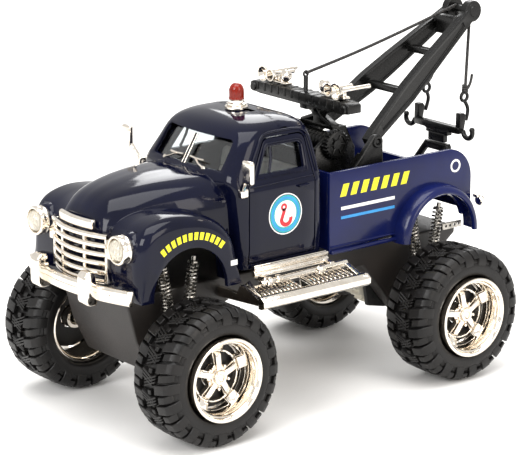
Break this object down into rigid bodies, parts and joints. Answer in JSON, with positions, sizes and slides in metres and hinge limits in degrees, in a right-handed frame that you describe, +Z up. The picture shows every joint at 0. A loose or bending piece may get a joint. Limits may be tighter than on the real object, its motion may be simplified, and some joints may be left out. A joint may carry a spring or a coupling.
{
  "type": "toy tow truck",
  "caption": "Toy pickup tow truck on oversized tyres, with opening doors, pull-back motor, winch, lifting boom and a hanging tow sling.",
  "frame": {"origin": "centre of the bounding box's underside, on the ground the tyres stand on", "axes": "+Y towards the tailgate (the nose points to -Y), +X to the truck's left side, +Z up"},
  "size_m": [0.0802, 0.1463, 0.1006],
  "materials": {
    "cab_paint": "gloss",
    "clear_plastic": "clear",
    "seat_grey": "matt",
    "trim_black": "matt",
    "chrome": "vacuum-plated plastic, mirror bright",
    "lens_cream": "clear cream",
    "lens_red": "translucent orange-red",
    "bed_plastic": "gloss",
    "chassis_plastic": "satin dark brown-black",
    "steel": "satin",
    "tyre_rubber": "matt",
    "gear_white": "natural nylon",
    "crane_plastic": "semi-gloss black",
    "rope_black": "twisted cord, waxed"
  },
  "bodies": {
    "truck": {"cab_shell": "cab_paint", "windscreen": "clear_plastic", "rear_window": "clear_plastic", "bench_seat": "seat_grey", "interior_pan": "trim_black", "steering_wheel": "trim_black", "grille": "chrome", "nose_bar": "chrome", "headlight_left": "chrome", "headlight_lens_left": "lens_cream", "headlight_right": "chrome", "headlight_lens_right": "lens_cream", "front_bumper": "chrome", "beacon_base": "chrome", "beacon_lens": "lens_red", "mirror_left": "chrome", "mirror_right": "chrome", "bed": "bed_plastic", "tail_lamp_left": "chrome", "tail_lamp_right": "chrome", "chassis_frame": "chassis_plastic", "shocks_front_left": "steel", "shocks_front_right": "steel", "shocks_rear_left": "steel", "shocks_rear_right": "steel", "step_left": "chrome", "step_right": "chrome", "motor_frame": "trim_black", "crane_base": "crane_plastic", "mast_frame": "crane_plastic", "light_bar": "crane_plastic", "horns_and_lamp_left": "chrome", "horns_and_lamp_right": "chrome", "stay_rope": "rope_black"},
    "door_left": {"door_left": "cab_paint", "door_glass_left": "clear_plastic"},
    "door_right": {"door_right": "cab_paint", "door_glass_right": "clear_plastic"},
    "front_axle": {"front_axle": "steel", "tyre_front_left": "tyre_rubber", "rim_front_left": "chrome", "tyre_front_right": "tyre_rubber", "rim_front_right": "chrome"},
    "rear_axle": {"rear_axle": "steel", "axle_pinion": "gear_white", "tyre_rear_left": "tyre_rubber", "rim_rear_left": "chrome", "tyre_rear_right": "tyre_rubber", "rim_rear_right": "chrome"},
    "spring_barrel": {"spring_barrel": "gear_white"},
    "winch": {"winch_drum": "crane_plastic"},
    "boom": {"boom_frame": "crane_plastic", "tip_roller": "crane_plastic"},
    "sling": {"tow_crossbar": "crane_plastic", "tow_a_frame": "crane_plastic", "hook_eye_left": "crane_plastic", "hook_eye_right": "crane_plastic", "hang_rope_left": "rope_black", "hang_rope_right": "rope_black"}
  },
  "joints": [
    {"name": "door_left_hinge", "type": "hinge", "parent": "truck", "child": "door_left", "pos_m": [0.021, -0.0252, 0.055], "axis": [0, 0, -1], "range_deg": [0, 60]},
    {"name": "door_right_hinge", "type": "hinge", "parent": "truck", "child": "door_right", "pos_m": [-0.021, -0.0252, 0.055], "axis": [0, 0, 1], "range_deg": [0, 60]},
    {"name": "front_axle_spin", "type": "hinge", "parent": "truck", "child": "front_axle", "pos_m": [0, -0.0474, 0.0191], "axis": [1, 0, 0], "continuous": true},
    {"name": "rear_axle_spin", "type": "hinge", "parent": "truck", "child": "rear_axle", "pos_m": [0, 0.04, 0.0191], "axis": [1, 0, 0], "continuous": true},
    {"name": "spring_barrel_spin", "type": "hinge", "parent": "truck", "child": "spring_barrel", "pos_m": [0, 0.0315, 0.0231], "axis": [1, 0, 0], "continuous": true},
    {"name": "winch_spin", "type": "hinge", "parent": "truck", "child": "winch", "pos_m": [0, 0.0148, 0.0669], "axis": [1, 0, 0], "continuous": true},
    {"name": "boom_lift", "type": "hinge", "parent": "truck", "child": "boom", "pos_m": [0, 0.025, 0.0673], "axis": [1, 0, 0], "range_deg": [0, 12], "deforming": ["stay_rope"]},
    {"name": "sling_swing", "type": "hinge", "parent": "boom", "child": "sling", "pos_m": [0, 0.07, 0.0975], "axis": [1, 0, 0], "range_deg": [0, 30]}
  ],
  "couplings": [
    {"joint": "spring_barrel_spin", "follows": "rear_axle_spin", "ratio": -0.63158}
  ]
}
